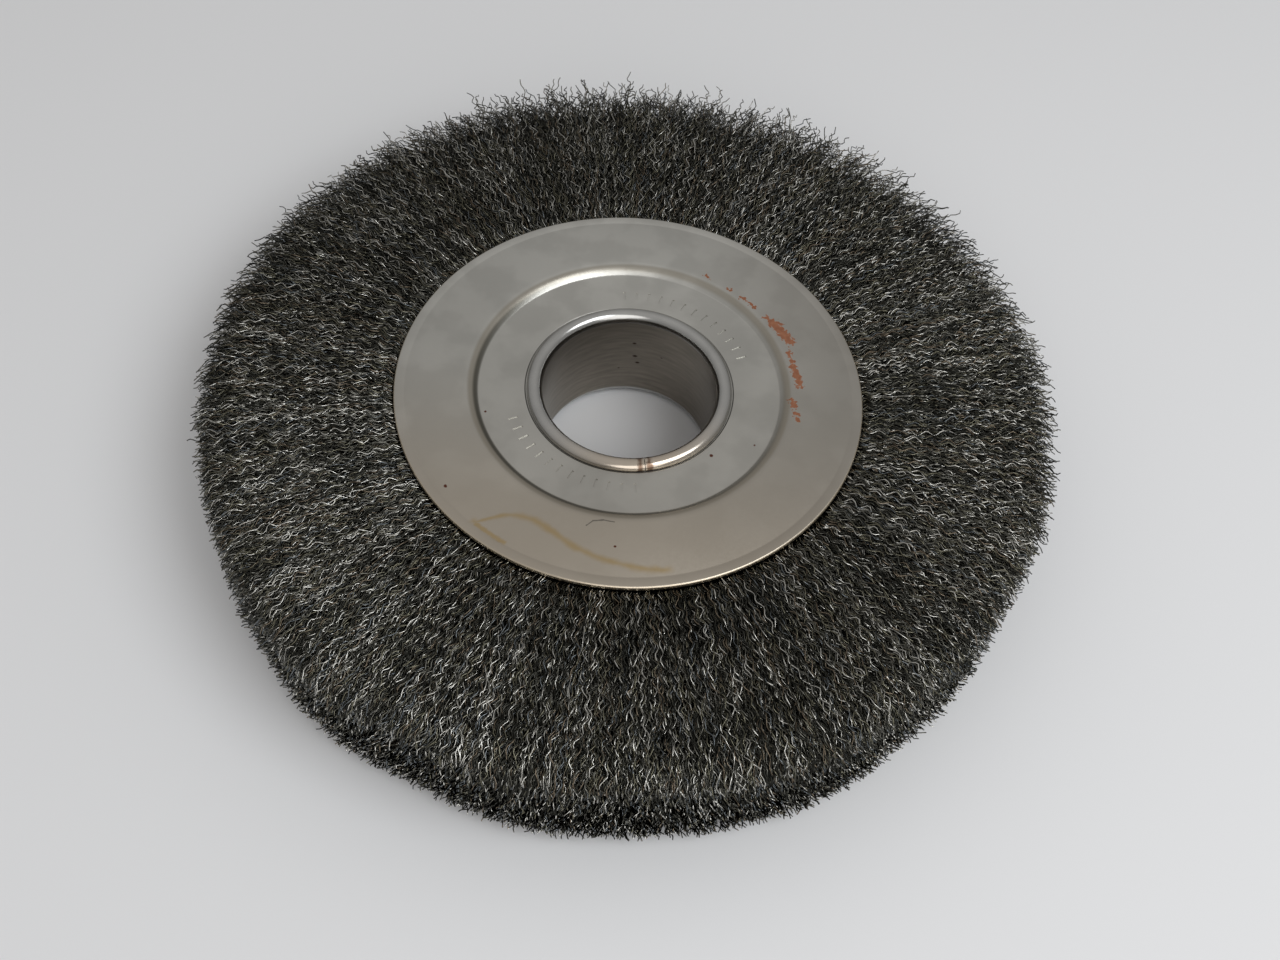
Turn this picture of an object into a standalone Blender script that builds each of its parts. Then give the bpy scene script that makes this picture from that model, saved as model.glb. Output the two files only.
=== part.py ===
"""Crimped wire wheel brush, ten inches across, with a two inch arbor hole.

The wheel lies flat with its axis along +Z, and its origin is at the middle of its underside.
Two stamped side plates are held by a rolled sleeve whose ends are curled over them. Between
the plates, around the sleeve, four narrow brush sections are stacked. Each section is a
channel ring, a hoop lying in the channel, and crimped wire doubled around the hoop, so that
its two legs run out side by side to the rim. The wire of one section is one closed solid
with the outer shape of its two legs.
"""
import math

import bpy

MM = 0.001

# Driving dimensions
WHEEL_RADIUS = 127.0 * MM
FACE_WIDTH = 38.1 * MM
BORE_RADIUS = 25.4 * MM
PLATE_RADIUS = 68.25 * MM
SECTION_COUNT = 4
GAP = 0.3 * MM

# Heights are measured from the plane half way between the two side plates
MID_PLANE = FACE_WIDTH / 2

# Side plates
SHEET = 1.2 * MM
PLATE_HOLE_RADIUS = 27.4 * MM
DISC_HEIGHT = 16.2 * MM
LIP_SEAT_RADIUS = 30.3 * MM
LIP_SEAT_DEPTH = 0.3 * MM
STEP_FOOT_RADIUS = 44.0 * MM
STEP_TOP_RADIUS = 47.4 * MM
STEP_RISE = 2.0 * MM
STEP_KNEE_RUN = 1.6 * MM
STEP_KNEE_RISE = 1.45 * MM
SHOULDER_RADIUS = 65.2 * MM
SHOULDER_HEIGHT = 17.35 * MM
EDGE_HEIGHT = 16.95 * MM
TURNED_EDGE = 1.2 * MM

# Arbor sleeve
SLEEVE_WALL = 1.6 * MM
LIP_WIDTH = 4.6 * MM
LIP_CROWN = 1.95 * MM

# Channel rings and hoops
CHANNEL_OUTER_RADIUS = 40.0 * MM
CHANNEL_WEB = 1.0 * MM
CHANNEL_FLANGE = 0.7 * MM
HOOP_WIRE_RADIUS = 1.1 * MM
HOOP_SIDES = 8

# Wire fill
FOLD_THICKNESS = 1.0 * MM
FOLD_CHAMFER = 0.6 * MM
HOOP_SEAT_RADIUS = 1.5 * MM
SLIT = 0.4 * MM
MOUTH_LENGTH = 1.8 * MM
PINCH_RADIUS = 69.0 * MM
PINCH_HALF_HEIGHT = 14.9 * MM
FLARE_RADIUS = 104.0 * MM
ROUND_START_RADIUS = 121.0 * MM
ROUND_DEPTH = 4.4 * MM
ROUND_CORNER = 0.3

SEGMENTS = 36
ARC_STEPS = 6
SHARP_ANGLE = math.radians(32)
MERGE_DISTANCE = 0.01 * MM

# Derived sizes
SLEEVE_OUTER_RADIUS = BORE_RADIUS + SLEEVE_WALL
STACK_HALF_HEIGHT = DISC_HEIGHT - LIP_SEAT_DEPTH - SHEET - GAP
SECTION_PITCH = 2 * STACK_HALF_HEIGHT / SECTION_COUNT
CHANNEL_HALF_WIDTH = (SECTION_PITCH - GAP) / 2
CHANNEL_INNER_RADIUS = SLEEVE_OUTER_RADIUS + GAP
FOLD_RADIUS = CHANNEL_INNER_RADIUS + CHANNEL_WEB + GAP
HOOP_RADIUS = FOLD_RADIUS + FOLD_THICKNESS + HOOP_SEAT_RADIUS


def clear_scene():
    for thing in list(bpy.data.objects):
        bpy.data.objects.remove(thing, do_unlink=True)


def new_collection(name):
    collection = bpy.data.collections.new(name)
    bpy.context.scene.collection.children.link(collection)
    return collection


def metal(name, colour, roughness):
    material = bpy.data.materials.new(name)
    material.use_nodes = True
    shader = material.node_tree.nodes["Principled BSDF"]
    shader.inputs["Base Color"].default_value = (*colour, 1.0)
    shader.inputs["Metallic"].default_value = 1.0
    shader.inputs["Roughness"].default_value = roughness
    return material


def plate_steel():
    return metal("plate_steel", (0.40, 0.38, 0.35), 0.38)


def sleeve_steel():
    return metal("sleeve_steel", (0.46, 0.45, 0.43), 0.30)


def channel_steel():
    return metal("channel_steel", (0.33, 0.33, 0.34), 0.45)


def hoop_steel():
    return metal("hoop_steel", (0.27, 0.27, 0.28), 0.40)


def wire_steel():
    return metal("wire_steel", (0.07, 0.068, 0.062), 0.45)


def turned_mesh(name, outline, closed=True, sheet=0.0):
    """Turn an outline of (radius, height) points about Z.

    The points run down the outer side. An open outline becomes a shell, whose thickness
    lies behind its outer face.
    """
    source = bpy.data.meshes.new(name + "_outline")
    points = [(radius, 0.0, height) for radius, height in outline]
    edges = [(i, i + 1) for i in range(len(points) - 1)]
    if closed:
        edges.append((len(points) - 1, 0))
    source.from_pydata(points, edges, [])
    guide = bpy.data.objects.new(name + "_guide", source)
    bpy.context.scene.collection.objects.link(guide)
    screw = guide.modifiers.new("turn", "SCREW")
    screw.steps = SEGMENTS
    screw.render_steps = SEGMENTS
    screw.use_merge_vertices = True
    screw.merge_threshold = MERGE_DISTANCE
    if sheet:
        shell = guide.modifiers.new("sheet", "SOLIDIFY")
        shell.thickness = sheet
        shell.offset = -1.0
        shell.use_even_offset = True
    depsgraph = bpy.context.evaluated_depsgraph_get()
    mesh = bpy.data.meshes.new_from_object(guide.evaluated_get(depsgraph))
    bpy.data.objects.remove(guide)
    bpy.data.meshes.remove(source)
    mesh.name = name
    mesh.shade_smooth()
    mesh.set_sharp_from_angle(angle=SHARP_ANGLE)
    return mesh


def place(collection, parent, name, mesh, height=0.0, flipped=False):
    """Put a piece on the axis, height above the middle plane, turned over if flipped."""
    piece = bpy.data.objects.new(name, mesh)
    piece.location = (0.0, 0.0, height)
    if flipped:
        piece.rotation_euler = (math.pi, 0.0, 0.0)
    piece.parent = parent
    collection.objects.link(piece)


def side_plate_mesh():
    """A stamped disc with a turned-down edge.

    From the hole outwards: a shallow seat that the sleeve's lip presses into, a flat ring, a
    step up that is steeper at its foot, and a slightly coned ring that falls away a little
    more outside its shoulder.
    """
    top = DISC_HEIGHT + STEP_RISE
    seat = DISC_HEIGHT - LIP_SEAT_DEPTH
    outline = [
        (PLATE_HOLE_RADIUS, seat),
        (LIP_SEAT_RADIUS, seat),
        (LIP_SEAT_RADIUS + LIP_SEAT_DEPTH, DISC_HEIGHT),
        (STEP_FOOT_RADIUS, DISC_HEIGHT),
        (STEP_FOOT_RADIUS + STEP_KNEE_RUN, DISC_HEIGHT + STEP_KNEE_RISE),
        (STEP_TOP_RADIUS, top),
        (SHOULDER_RADIUS, SHOULDER_HEIGHT),
        (PLATE_RADIUS, EDGE_HEIGHT),
        (PLATE_RADIUS, EDGE_HEIGHT - TURNED_EDGE),
    ]
    return turned_mesh("side_plate", outline, closed=False, sheet=SHEET)


def sleeve_mesh():
    """A rolled tube with both ends curled outwards into a half-round lip."""
    lip_middle = BORE_RADIUS + LIP_WIDTH / 2
    lip_base = DISC_HEIGHT - LIP_SEAT_DEPTH + GAP
    lip = []
    for step in range(ARC_STEPS + 1):
        angle = math.pi * step / ARC_STEPS
        radius = lip_middle - LIP_WIDTH / 2 * math.cos(angle)
        lip.append((radius, lip_base + LIP_CROWN * math.sin(angle)))
    wall = [(SLEEVE_OUTER_RADIUS, lip_base), (SLEEVE_OUTER_RADIUS, -lip_base)]
    lower_lip = [(radius, -height) for radius, height in reversed(lip)]
    return turned_mesh("arbor_sleeve", lip + wall + lower_lip)


def channel_mesh():
    """A U-shaped ring that opens outwards."""
    inner = CHANNEL_INNER_RADIUS
    floor = inner + CHANNEL_WEB
    outside = CHANNEL_HALF_WIDTH
    inside = CHANNEL_HALF_WIDTH - CHANNEL_FLANGE
    outline = [
        (CHANNEL_OUTER_RADIUS, outside),
        (CHANNEL_OUTER_RADIUS, inside),
        (floor, inside),
        (floor, -inside),
        (CHANNEL_OUTER_RADIUS, -inside),
        (CHANNEL_OUTER_RADIUS, -outside),
        (inner, -outside),
        (inner, outside),
    ]
    return turned_mesh("channel_ring", outline)


def hoop_mesh():
    """The round wire ring that the brush wire is doubled around."""
    outline = []
    for side in range(HOOP_SIDES):
        angle = math.tau * side / HOOP_SIDES
        radius = HOOP_RADIUS + HOOP_WIRE_RADIUS * math.cos(angle)
        outline.append((radius, -HOOP_WIRE_RADIUS * math.sin(angle)))
    return turned_mesh("retaining_hoop", outline)


def layer_boundary(fraction, gap):
    """Heights of a boundary between sections, from the channels out to the rim.

    fraction is 1 at the top of the stack, 0 at the middle plane; gap shifts the boundary
    into the section that it bounds.
    """
    mouth = CHANNEL_OUTER_RADIUS + GAP + MOUTH_LENGTH
    stations = [
        (mouth, STACK_HALF_HEIGHT),
        (PINCH_RADIUS, PINCH_HALF_HEIGHT),
        (FLARE_RADIUS, FACE_WIDTH / 2),
        (WHEEL_RADIUS, FACE_WIDTH / 2),
    ]
    return [(radius, fraction * half - gap) for radius, half in stations]


def hoop_seat(centre_height):
    """The inside of the fold, from the slit over the hoop and back to the slit."""
    opening = math.asin(SLIT / 2 / HOOP_SEAT_RADIUS)
    sweep = math.tau - 2 * opening
    seat = []
    for step in range(ARC_STEPS + 1):
        angle = opening + sweep * step / ARC_STEPS
        radius = HOOP_RADIUS + HOOP_SEAT_RADIUS * math.cos(angle)
        seat.append((radius, centre_height + HOOP_SEAT_RADIUS * math.sin(angle)))
    return seat


def wire_fill_mesh(section):
    """One section's wire: two legs, joined by the fold that lies around the hoop.

    section 0 is the outermost and 1 the next, counted from the top.
    """
    upper_share = 1 - 2 * section / SECTION_COUNT
    lower_share = upper_share - 2 / SECTION_COUNT
    outermost = section == 0
    upper = layer_boundary(upper_share, 0.0 if outermost else GAP / 2)
    lower = layer_boundary(lower_share, -GAP / 2)
    middle = layer_boundary((upper_share + lower_share) / 2, 0.0)
    centre = STACK_HALF_HEIGHT * (upper_share + lower_share) / 2
    tip = [upper[-1]]
    if outermost:
        top = FACE_WIDTH / 2
        rounding = WHEEL_RADIUS - ROUND_START_RADIUS
        tip = [
            (ROUND_START_RADIUS, top),
            (WHEEL_RADIUS - ROUND_CORNER * rounding, top - ROUND_CORNER * ROUND_DEPTH),
            (WHEEL_RADIUS, top - ROUND_DEPTH),
        ]
    slit_top = [(radius, height + SLIT / 2) for radius, height in reversed(middle[1:])]
    slit_bottom = [(radius, height - SLIT / 2) for radius, height in middle[1:]]
    half = CHANNEL_HALF_WIDTH - CHANNEL_FLANGE - GAP
    entry = CHANNEL_OUTER_RADIUS + GAP
    fold = [
        (entry, centre - half),
        (FOLD_RADIUS + FOLD_CHAMFER, centre - half),
        (FOLD_RADIUS, centre - half + FOLD_CHAMFER),
        (FOLD_RADIUS, centre + half - FOLD_CHAMFER),
        (FOLD_RADIUS + FOLD_CHAMFER, centre + half),
        (entry, centre + half),
    ]
    outline = tip + slit_top + hoop_seat(centre) + slit_bottom + lower[::-1] + fold + upper[:-1]
    return turned_mesh("wire_fill", outline)


def build():
    clear_scene()
    collection = new_collection("wheel_brush")
    wheel = bpy.data.objects.new("wheel_axis", None)
    wheel.location = (0.0, 0.0, MID_PLANE)
    collection.objects.link(wheel)

    plate = side_plate_mesh()
    plate.materials.append(plate_steel())
    place(collection, wheel, "side_plate_top", plate)
    place(collection, wheel, "side_plate_bottom", plate, flipped=True)

    sleeve = sleeve_mesh()
    sleeve.materials.append(sleeve_steel())
    place(collection, wheel, "arbor_sleeve", sleeve)

    channel = channel_mesh()
    channel.materials.append(channel_steel())
    hoop = hoop_mesh()
    hoop.materials.append(hoop_steel())
    fills = [wire_fill_mesh(section) for section in range(SECTION_COUNT // 2)]
    wire = wire_steel()
    for fill in fills:
        fill.materials.append(wire)
    for section in range(SECTION_COUNT):
        number = section + 1
        height = STACK_HALF_HEIGHT - SECTION_PITCH * (section + 0.5)
        place(collection, wheel, f"channel_ring_{number}", channel, height)
        place(collection, wheel, f"retaining_hoop_{number}", hoop, height)
        mirror = SECTION_COUNT - 1 - section
        place(collection, wheel, f"wire_fill_{number}", fills[min(section, mirror)],
              flipped=section > mirror)


build()
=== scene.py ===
"""Looks for the crimped wire wheel brush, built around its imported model.

The stamped plates, the rolled sleeve and every wire that can be seen are made finely, in the
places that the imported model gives. Sizes are in metres. Heights in outlines and wire layers
are measured from the wheel's middle plane. Angles run counterclockwise from +X, seen from above.
"""
import math

import bmesh
import bpy
import numpy as np
from mathutils import Matrix, Vector


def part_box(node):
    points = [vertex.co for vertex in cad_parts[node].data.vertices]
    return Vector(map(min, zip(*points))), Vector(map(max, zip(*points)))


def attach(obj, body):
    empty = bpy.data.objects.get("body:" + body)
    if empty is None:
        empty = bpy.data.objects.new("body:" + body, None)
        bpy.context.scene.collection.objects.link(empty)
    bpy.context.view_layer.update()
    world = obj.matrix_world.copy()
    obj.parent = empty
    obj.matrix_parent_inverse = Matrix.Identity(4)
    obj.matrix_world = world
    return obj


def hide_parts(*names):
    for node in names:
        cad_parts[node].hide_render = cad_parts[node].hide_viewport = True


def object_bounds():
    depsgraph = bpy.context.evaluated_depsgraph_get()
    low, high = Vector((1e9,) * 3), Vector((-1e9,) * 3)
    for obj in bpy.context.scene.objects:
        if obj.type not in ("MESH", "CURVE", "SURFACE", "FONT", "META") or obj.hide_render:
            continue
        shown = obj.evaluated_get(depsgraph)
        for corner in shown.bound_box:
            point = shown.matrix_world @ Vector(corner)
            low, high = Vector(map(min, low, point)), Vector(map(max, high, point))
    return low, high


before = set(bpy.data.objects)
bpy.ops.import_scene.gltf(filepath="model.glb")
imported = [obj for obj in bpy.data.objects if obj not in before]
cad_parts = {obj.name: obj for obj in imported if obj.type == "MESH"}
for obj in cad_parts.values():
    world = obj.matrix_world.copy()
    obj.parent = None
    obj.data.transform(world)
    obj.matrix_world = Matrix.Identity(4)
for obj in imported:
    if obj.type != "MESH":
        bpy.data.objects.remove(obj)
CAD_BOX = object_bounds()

MM = 0.001
TAU = math.tau
BODY = "root"

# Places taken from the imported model
MIDDLE = (CAD_BOX[0].z + CAD_BOX[1].z) / 2
HALF_FACE = CAD_BOX[1].z - MIDDLE
WHEEL_RADIUS = CAD_BOX[1].x
PLATE_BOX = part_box("side_plate_top")
PLATE_RADIUS = PLATE_BOX[1].x
PLATE_TOP = PLATE_BOX[1].z - MIDDLE
LIP_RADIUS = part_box("arbor_sleeve")[1].x
LIP_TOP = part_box("arbor_sleeve")[1].z - MIDDLE
CHANNEL_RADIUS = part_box("channel_ring_1")[1].x
STACK_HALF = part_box("channel_ring_1")[1].z - MIDDLE

# Stamped plates
SHEET = 1.2 * MM
HOLE_RADIUS = 27.4 * MM
STEP_RISE = 2.0 * MM
DISC_HEIGHT = PLATE_TOP - STEP_RISE
LIP_SEAT_RADIUS = 30.3 * MM
LIP_SEAT_DEPTH = 0.3 * MM
SEAT_FILLET = 0.1 * MM
STEP_FOOT_RADIUS = 44.0 * MM
STEP_TOP_RADIUS = 47.4 * MM
STEP_KNEE_RUN = 1.6 * MM
STEP_KNEE_RISE = 1.45 * MM
SHOULDER_RADIUS = 65.2 * MM
SHOULDER_DROP = 0.85 * MM
SHOULDER_GROOVE = 0.06 * MM
SHOULDER_GROOVE_HALF = 0.2 * MM
EDGE_DROP = 1.05 * MM
EDGE_ROLL = 0.35 * MM
TURNED_EDGE = 1.2 * MM
STEP_FOOT_FILLET = 0.3 * MM
STEP_KNEE_FILLET = 0.8 * MM
STEP_TOP_FILLET = 1.0 * MM
EDGE_FILLET = 0.2 * MM
PLATE_SEGMENTS = 256

# Plain marks stamped into the flat ring: (first angle, last angle) in degrees
TICK_ARCS = ((25, 97), (-155, -80))
TICK_SPACING = 6.0
TICK_RADIUS = 35.6 * MM
TICK_LENGTH = 3.0 * MM
TICK_WIDTH = 0.6 * MM
TICK_DEPTH = 0.3 * MM

# Rolled sleeve
BORE_RADIUS = 25.4 * MM
SLEEVE_WALL = 1.6 * MM
LIP_BASE = DISC_HEIGHT
LIP_ENTRY = 3.2 * MM
LIP_STEPS = 24
SLEEVE_SEGMENTS = 256
SEAM_ANGLE = math.radians(-77)
SEAM_WIDTH = 0.25 * MM

# Wire fill. A wear bump is its angle and width in degrees and its height in mm.
WIRE_RADIUS = 0.175 * MM
CRIMP_PITCH = 4.9 * MM
CRIMP_HEIGHT = 0.65 * MM
CRIMP_POINTS = 5
CRIMP_STEP = CRIMP_PITCH / CRIMP_POINTS
EMERGE_RADIUS = 66.5 * MM
EMERGE_HALF = 14.7 * MM
FLARE = 4.0 * MM
FLARE_REACH = 10.0 * MM
ROUND_START = 114.0 * MM
ROUND_LENGTH = 13.0 * MM
ROUND_DEPTH = 4.5 * MM
TIP_RADIUS = WHEEL_RADIUS - 2.6 * MM
TIP_REACH = 2.3 * MM
TIP_SPREAD = 3.0 * MM
LOOSE_REACH = 12.5 * MM
LOOSE_SPREAD = 28.0 * MM
LOOSE_LIFT = 3.8 * MM
LOOSE_ANGLE = math.radians(84)
TIP_LIMIT = WHEEL_RADIUS + 10.0 * MM
TIP_SPLAY = 1.3 * MM
LOOSE_SHARE = 0.8
WEAR_BUMPS = ((-20, 30, -2.6), (190, 26, -2.6), (-80, 26, 0.6), (35, 26, -1.0), (86, 7, 5.4),
              (112, 10, 2.6))
RIPPLE_HEIGHT = 0.25 * MM
RIPPLE_TURNS = range(7, 19)
RIPPLE_SEED = 5
WIRE_SEED = 11
CLUMPS = 200
CLUMP_ROWS = 10
CLUMP_SHIFT = 0.35
CLUMP_STRENGTH = 0.45
CLUMP_REACH = 0.7 * MM
CLUMP_LEAN = 0.55 * MM
GATHER_START = 70.0 * MM
WANDER = (0.3 * MM, 1.7 * MM)
WAVER_LENGTH = (15.0 * MM, 32.0 * MM)
DIVE = (0.2 * MM, 2.2 * MM)
DIP_LENGTH = (11.0 * MM, 26.0 * MM)
FLOOR_CLEARANCE = 0.25 * MM

# How the crimps of neighbouring wires differ. Phases and tilts are in radians.
CRIMP_TILT = 0.8
PITCH_JITTER = 0.012
HEIGHT_JITTER = 0.22
IN_STEP_SHARE = 0.8
IN_STEP_JITTER = 0.5
PHASE_DRIFT = 1.2
# Share of crimps that take another tone: painted glints and dark reflections
PAINTED_GLINT_SHARE = 0.4

# Numbers of wires, and where the wires that don't start at the plate begin
UPPER_LONG_WIRES = 3600
UPPER_OUTER_WIRES = 4000
LOWER_WIRES = 1400
RIM_WIRES = 18700
OUTER_START = 88.0 * MM
OUTER_START_RANGE = 8.0 * MM
RIM_START = 108.0 * MM
RIM_START_RANGE = 4.0 * MM
FACE_DEPTH = 2.2 * MM
RIM_INSET = 0.6 * MM
TOP_PIECES = 12
BOTTOM_PIECES = 6
RIM_PIECES = 12

# The dense inside of the fill
CORE_RADIUS = 118.0 * MM
CORE_DEPTH = 3.4 * MM
CORE_CHANNEL_GAP = 1.5 * MM
CORE_STACK_INSET = 1.0 * MM
CORE_STATIONS = 24
CORE_SEGMENTS = 192

# Stage. A lamp is its name, azimuth and elevation in degrees, distance and size in metres,
# power in watts, and colour. The sky is strongest straight above and weakest at the horizon.
FLOOR_SIZE = 8.0
FLOOR_COLOUR = (0.76, 0.765, 0.78, 1.0)
FLOOR_ROUGHNESS = 0.65
SKY_COLOUR = (1.0, 0.985, 0.965, 1.0)
SKY_LOWEST = 0.30
SKY_HIGHEST = 0.57
LAMPS = (
    ("window", -30, 52, 1.2, 0.75, 5.3, (0.95, 0.98, 1.0)),
    ("front_fill", -74, 34, 1.2, 1.0, 3.6, (1.0, 0.985, 0.97)),
)

# Camera, fitted to the ellipses of the plate, the lip and the bore
CAMERA_LENS = 40.5
SENSOR_WIDTH = 36.0
CAMERA_ELEVATION = math.radians(55.2)
CAMERA_ROLL = math.radians(5.2)
CAMERA_PLACE = Vector((5.5, -261.8, 365.2)) * MM


# ---------------------------------------------------------------- small helpers

def link(piece):
    bpy.context.scene.collection.objects.link(piece)
    return piece


def node(tree, kind, **inputs):
    """Add a shader node. A keyword names an input socket, with _ for a space."""
    made = tree.nodes.new(kind)
    for name, value in inputs.items():
        plug(tree, made.inputs[name.replace("_", " ")], value)
    return made


def plug(tree, socket, value):
    if isinstance(value, bpy.types.NodeSocket):
        tree.links.new(value, socket)
    else:
        socket.default_value = value


def calculate(tree, operation, first, second=0.0):
    made = tree.nodes.new("ShaderNodeMath")
    made.operation = operation
    plug(tree, made.inputs[0], first)
    plug(tree, made.inputs[1], second)
    return made.outputs[0]


def share_of(tree, amount, share):
    """A mix share scaled by a plain number."""
    return calculate(tree, "MULTIPLY", share, amount)


def blend_colour(tree, share, first, second):
    made = tree.nodes.new("ShaderNodeMix")
    made.data_type = "RGBA"
    plug(tree, made.inputs["Factor"], share)
    plug(tree, made.inputs[6], first)
    plug(tree, made.inputs[7], second)
    return made.outputs[2]


def fade(tree, value, start, end):
    """1 where value is at start, 0 at end, smooth between."""
    made = tree.nodes.new("ShaderNodeMapRange")
    made.interpolation_type = "SMOOTHSTEP"
    plug(tree, made.inputs["Value"], value)
    made.inputs["From Min"].default_value = start
    made.inputs["From Max"].default_value = end
    made.inputs["To Min"].default_value = 1.0
    made.inputs["To Max"].default_value = 0.0
    return made.outputs[0]


def rescale(tree, value, low, high):
    made = tree.nodes.new("ShaderNodeMapRange")
    plug(tree, made.inputs["Value"], value)
    made.inputs["To Min"].default_value = low
    made.inputs["To Max"].default_value = high
    return made.outputs[0]


def metal(name, colour, roughness):
    material = bpy.data.materials.new(name)
    material.use_nodes = True
    shader = material.node_tree.nodes["Principled BSDF"]
    shader.inputs["Base Color"].default_value = (*colour, 1.0)
    shader.inputs["Metallic"].default_value = 1.0
    shader.inputs["Roughness"].default_value = roughness
    return material, material.node_tree, shader


def noise(tree, place, scale, detail=4.0):
    return node(tree, "ShaderNodeTexNoise", Vector=place, Scale=scale, Detail=detail).outputs[0]


def polar(tree):
    """Object coordinates, and the radius and angle of a point round the wheel's axis."""
    place = tree.nodes.new("ShaderNodeTexCoord").outputs["Object"]
    parts = node(tree, "ShaderNodeSeparateXYZ", Vector=place)
    across, along = parts.outputs[0], parts.outputs[1]
    squares = calculate(
        tree, "ADD", calculate(tree, "MULTIPLY", across, across),
        calculate(tree, "MULTIPLY", along, along),
    )
    radius = calculate(tree, "SQRT", squares)
    angle = calculate(tree, "ARCTAN2", along, across)
    return place, radius, angle


def bump(tree, shader, height, distance):
    made = node(tree, "ShaderNodeBump", Height=height, Distance=distance)
    tree.links.new(made.outputs[0], shader.inputs["Normal"])


# ---------------------------------------------------------------- plate material

# The stain's line is (degrees, mm). A streak is ((mm, degrees), (mm, degrees), half width in mm).
STAIN_COLOUR = (0.40, 0.295, 0.15, 1.0)
STAIN_LINE = ((-126, 64.4), (-124, 60.8), (-121, 57.2), (-115, 54.8), (-108, 55.5), (-101, 57.9),
              (-94, 59.7), (-87, 61.4), (-77, 63.4))
STAIN_RETURN = (((64.7, -117), (64.6, -125.5), 0.25),)
STAIN_WIDTH = 2.0 * MM
RUST_DARK = (0.15, 0.05, 0.022, 1.0)
RUST_LIGHT = (0.34, 0.145, 0.075, 1.0)
RUST_STREAKS = (
    ((49.0, 66), (49.0, 65), 0.5), ((48.5, 56), (48.5, 55), 0.4), ((48.7, 50), (48.9, 44), 0.35),
    ((49.0, 38), (49.8, 35), 0.9), ((50.0, 34), (51.0, 25), 1.7), ((49.2, 20), (49.0, 15), 0.7),
    ((49.0, 14), (49.8, 6), 1.1), ((47.5, -1), (48.0, -4), 0.8), ((49.0, -7), (49.6, -9), 0.6),
)
SCRATCH = (
    ((48.4, -90.5), (48.2, -94.0), 0.12), ((48.2, -94.0), (49.0, -97.3), 0.2),
    ((49.0, -97.3), (50.8, -98.8), 0.2),
)
PLATE_SPOTS = (
    ((63.0, -139.0), (63.0, -139.2), 0.35), ((42.6, -161.4), (42.6, -161.5), 0.2),
    ((33.2, -41.0), (33.2, -41.3), 0.4), ((56.0, -89.5), (56.0, -89.6), 0.2),
    ((40.8, -24.4), (40.8, -24.6), 0.15),
)
# The foot of the step is darkened in the plate's colour: painted shade and dark reflection, with
# some grime
GRIME_AND_SHADE_MIDDLE = STEP_FOOT_RADIUS + 0.8 * MM
GRIME_AND_SHADE_ANGLE = math.radians(222)
# Painted brown reflection on the step, which dims its highlight
STEP_REFLECTION_RADIUS = 46.0 * MM
PLATE_DARK = (0.40, 0.395, 0.37, 1.0)
PLATE_LIGHT = (0.56, 0.55, 0.515, 1.0)
# Painted light: the plate is paler towards +Y
PLATE_PALE = (0.64, 0.635, 0.60, 1.0)
BLOTCH_COLOUR = (0.27, 0.265, 0.245, 1.0)
# Painted shade: the outer ring is browner towards -Y
FRONT_SHADE_COLOUR = (0.435, 0.375, 0.30, 1.0)
# Painted shade: the outer ring is darker towards +X
RIGHT_SHADE_COLOUR = (0.29, 0.262, 0.225, 1.0)
STEP_REFLECTION_COLOUR = (0.28, 0.245, 0.19, 1.0)
# Painted warm highlight along the bare outer edge
EDGE_HIGHLIGHT_COLOUR = (0.66, 0.57, 0.44, 1.0)
GRIME_AND_SHADE_COLOUR = (0.085, 0.08, 0.06, 1.0)
SPOT_COLOUR = (0.12, 0.045, 0.03, 1.0)
SCRATCH_COLOUR = (0.10, 0.095, 0.085, 1.0)


def stain_share(tree, place, radius, angle):
    """A wavering dried line on the outer ring, given as radius against angle."""
    first, last = STAIN_LINE[0][0], STAIN_LINE[-1][0]
    window = tree.nodes.new("ShaderNodeMapRange")
    plug(tree, window.inputs["Value"], angle)
    window.inputs["From Min"].default_value = math.radians(first)
    window.inputs["From Max"].default_value = math.radians(last)
    route = node(tree, "ShaderNodeFloatCurve", Value=window.outputs[0])
    curve = route.mapping.curves[0]
    reach = PLATE_RADIUS / MM
    points = [((degrees - first) / (last - first), mm / reach) for degrees, mm in STAIN_LINE]
    curve.points[0].location = points[0]
    curve.points[1].location = points[-1]
    for point in points[1:-1]:
        curve.points.new(*point)
    route.mapping.update()
    middle = calculate(tree, "MULTIPLY", route.outputs[0], PLATE_RADIUS)
    waver = calculate(tree, "MULTIPLY", noise(tree, place, 240.0), 2.0 * MM)
    away = calculate(tree, "ABSOLUTE", calculate(tree, "SUBTRACT", radius, middle))
    line = fade(tree, calculate(tree, "ADD", away, waver), 0.8 * MM, 0.8 * MM + STAIN_WIDTH)
    reach_in = calculate(tree, "MULTIPLY",
                         fade(tree, angle, math.radians(last), math.radians(last + 3)),
                         fade(tree, angle, math.radians(first), math.radians(first - 2)))
    line = calculate(tree, "MULTIPLY", line, reach_in)
    back = streaks_share(tree, place, radius, angle, STAIN_RETURN, 1.0 * MM, 0.8 * MM)
    return calculate(tree, "MAXIMUM", line, back)


def streak_distance(tree, radius, angle, start, end):
    """Distance to a short streak that runs between two (mm, degrees) points on the plate."""
    first, last = math.radians(start[1]), math.radians(end[1])
    share = tree.nodes.new("ShaderNodeMapRange")
    plug(tree, share.inputs["Value"], angle)
    share.inputs["From Min"].default_value = first
    share.inputs["From Max"].default_value = last
    share.inputs["To Min"].default_value = start[0] * MM
    share.inputs["To Max"].default_value = end[0] * MM
    across = calculate(tree, "SUBTRACT", radius, share.outputs[0])
    inside = calculate(tree, "MAXIMUM", calculate(tree, "MINIMUM", angle, first), last)
    beyond = calculate(tree, "SUBTRACT", angle, inside)
    beyond = calculate(tree, "MULTIPLY", beyond, start[0] * MM)
    squares = calculate(tree, "ADD", calculate(tree, "MULTIPLY", across, across),
                        calculate(tree, "MULTIPLY", beyond, beyond))
    return calculate(tree, "SQRT", squares)


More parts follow.
